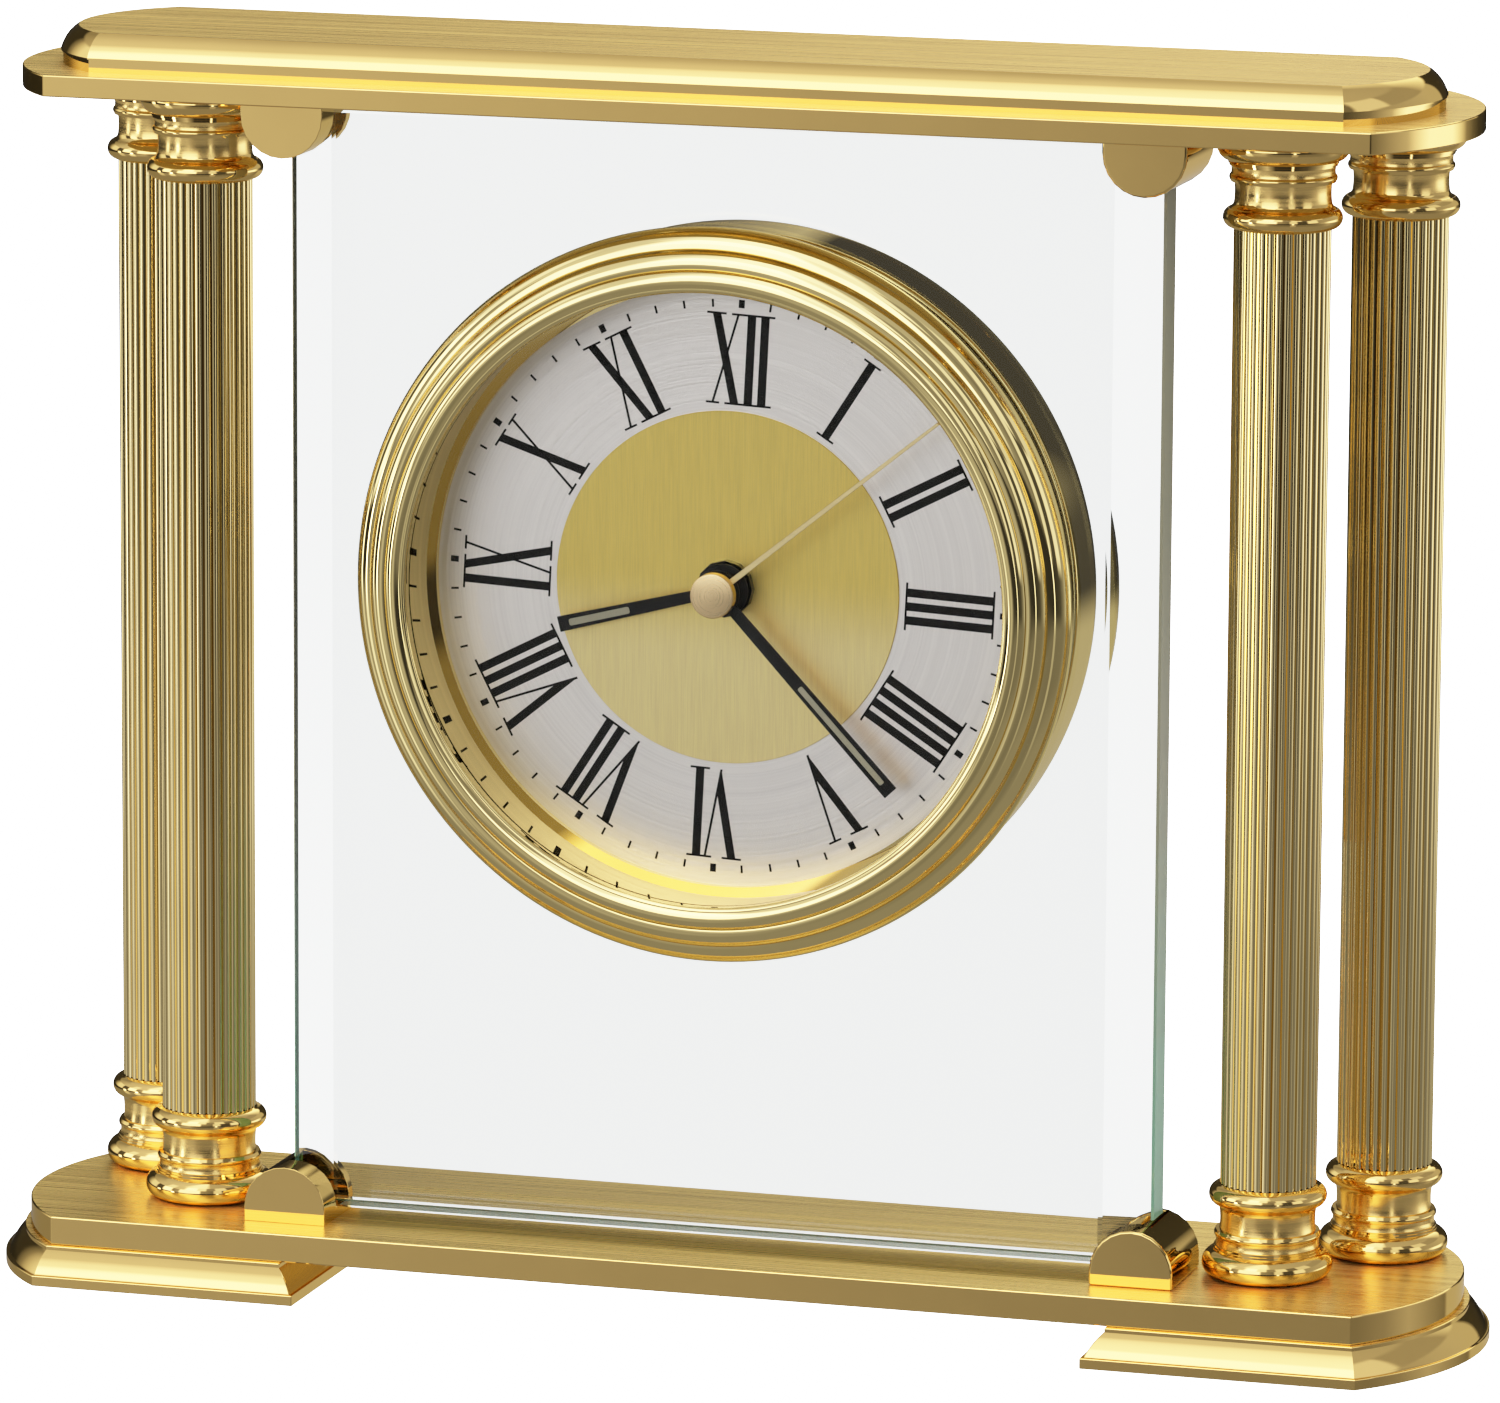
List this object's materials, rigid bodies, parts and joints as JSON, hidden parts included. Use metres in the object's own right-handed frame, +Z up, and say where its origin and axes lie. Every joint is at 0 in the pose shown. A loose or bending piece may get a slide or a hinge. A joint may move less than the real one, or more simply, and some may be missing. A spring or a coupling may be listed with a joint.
{
  "type": "table clock",
  "caption": "Free-standing brass table clock: bow-ended plates on reeded columns hold a bevelled glass panel with a round quartz clock head, turning hands and a rear battery door.",
  "frame": {"origin": "on the floor under the middle of the stand", "axes": "+Z up, +X to the right seen from the front, +Y from the dial to the back"},
  "size_m": [0.2544, 0.065, 0.2096],
  "materials": {
    "polished_brass": "polished",
    "brushed_brass": "brushed lengthwise",
    "silvered_metal": "silvered and spun",
    "steel": "plain",
    "clear_glass": "clear, polished edges",
    "black_paint": "satin black",
    "black_plastic": "matt",
    "white_plastic": "plain moulded",
    "black_rubber": "matt",
    "green_felt": "felt",
    "copper_winding": "enamelled wire",
    "green_board": "plain",
    "battery_sleeve": "plain printed sleeve, no text"
  },
  "bodies": {
    "stand": {"base_plate": "brushed_brass", "top_plate": "brushed_brass", "top_cap": "brushed_brass", "left_foot": "polished_brass", "right_foot": "polished_brass", "left_foot_pad": "green_felt", "right_foot_pad": "green_felt", "front_left_column_base": "polished_brass", "front_left_column_shaft": "polished_brass", "front_left_column_capital": "polished_brass", "front_left_column_bolt": "steel", "front_right_column_base": "polished_brass", "front_right_column_shaft": "polished_brass", "front_right_column_capital": "polished_brass", "front_right_column_bolt": "steel", "back_left_column_base": "polished_brass", "back_left_column_shaft": "polished_brass", "back_left_column_capital": "polished_brass", "back_left_column_bolt": "steel", "back_right_column_base": "polished_brass", "back_right_column_shaft": "polished_brass", "back_right_column_capital": "polished_brass", "back_right_column_bolt": "steel", "lower_left_glass_clip": "polished_brass", "lower_left_clip_screw": "steel", "lower_right_glass_clip": "polished_brass", "lower_right_clip_screw": "steel", "upper_left_glass_clip": "polished_brass", "upper_left_clip_screw": "steel", "upper_right_glass_clip": "polished_brass", "upper_right_clip_screw": "steel", "glass_panel": "clear_glass", "bezel": "polished_brass", "crystal": "clear_glass", "reflector_ring": "polished_brass", "dial_ring": "polished_brass", "dial_plate": "silvered_metal", "dial_centre": "brushed_brass", "retaining_ring": "steel", "rear_gasket": "black_rubber", "centre_nut": "steel", "drum": "polished_brass", "rear_cover": "brushed_brass", "movement_case": "black_plastic", "movement_cover": "black_plastic", "battery": "battery_sleeve", "circuit_board": "green_board", "stepper_coil": "copper_winding"},
    "minute_train": {"minute_hand": "black_paint", "minute_wheel": "polished_brass"},
    "hour_train": {"hour_hand": "black_paint", "hour_wheel": "polished_brass"},
    "motion_work": {"motion_wheel": "white_plastic"},
    "setting_knob": {"set_knob": "polished_brass"},
    "second_train": {"second_hand": "polished_brass", "second_wheel": "polished_brass"},
    "third_work": {"third_wheel": "white_plastic"},
    "intermediate_work": {"intermediate_wheel": "white_plastic"},
    "motor_rotor": {"rotor": "steel"},
    "door": {"battery_door": "brushed_brass"}
  },
  "joints": [
    {"name": "minute_turn", "type": "hinge", "parent": "stand", "child": "minute_train", "pos_m": [0, 0, 0.1211], "axis": [0, 1, 0], "continuous": true},
    {"name": "hour_turn", "type": "hinge", "parent": "stand", "child": "hour_train", "pos_m": [0, 0, 0.1211], "axis": [0, 1, 0], "continuous": true},
    {"name": "motion_turn", "type": "hinge", "parent": "stand", "child": "motion_work", "pos_m": [0.00831, 0, 0.1259], "axis": [0, 1, 0], "continuous": true},
    {"name": "knob_turn", "type": "hinge", "parent": "stand", "child": "setting_knob", "pos_m": [0.01663, 0, 0.1307], "axis": [0, 1, 0], "continuous": true},
    {"name": "second_turn", "type": "hinge", "parent": "stand", "child": "second_train", "pos_m": [0, 0, 0.1211], "axis": [0, 1, 0], "continuous": true},
    {"name": "third_turn", "type": "hinge", "parent": "stand", "child": "third_work", "pos_m": [-0.00808, 0, 0.12404], "axis": [0, 1, 0], "continuous": true},
    {"name": "intermediate_turn", "type": "hinge", "parent": "stand", "child": "intermediate_work", "pos_m": [0, 0, 0.13], "axis": [0, 1, 0], "continuous": true},
    {"name": "rotor_turn", "type": "hinge", "parent": "stand", "child": "motor_rotor", "pos_m": [-0.00557, 0, 0.13335], "axis": [0, 1, 0], "continuous": true},
    {"name": "battery_door_hinge", "type": "hinge", "parent": "stand", "child": "door", "pos_m": [0, 0.01565, 0.09445], "axis": [-1, 0, 0], "range_deg": [0, 110]}
  ],
  "couplings": [
    {"joint": "hour_turn", "follows": "minute_turn", "ratio": 0.083333},
    {"joint": "motion_turn", "follows": "minute_turn", "ratio": -0.33333},
    {"joint": "knob_turn", "follows": "minute_turn", "ratio": 1},
    {"joint": "third_turn", "follows": "second_turn", "ratio": -0.13333},
    {"joint": "intermediate_turn", "follows": "second_turn", "ratio": -6},
    {"joint": "rotor_turn", "follows": "second_turn", "ratio": 30}
  ]
}
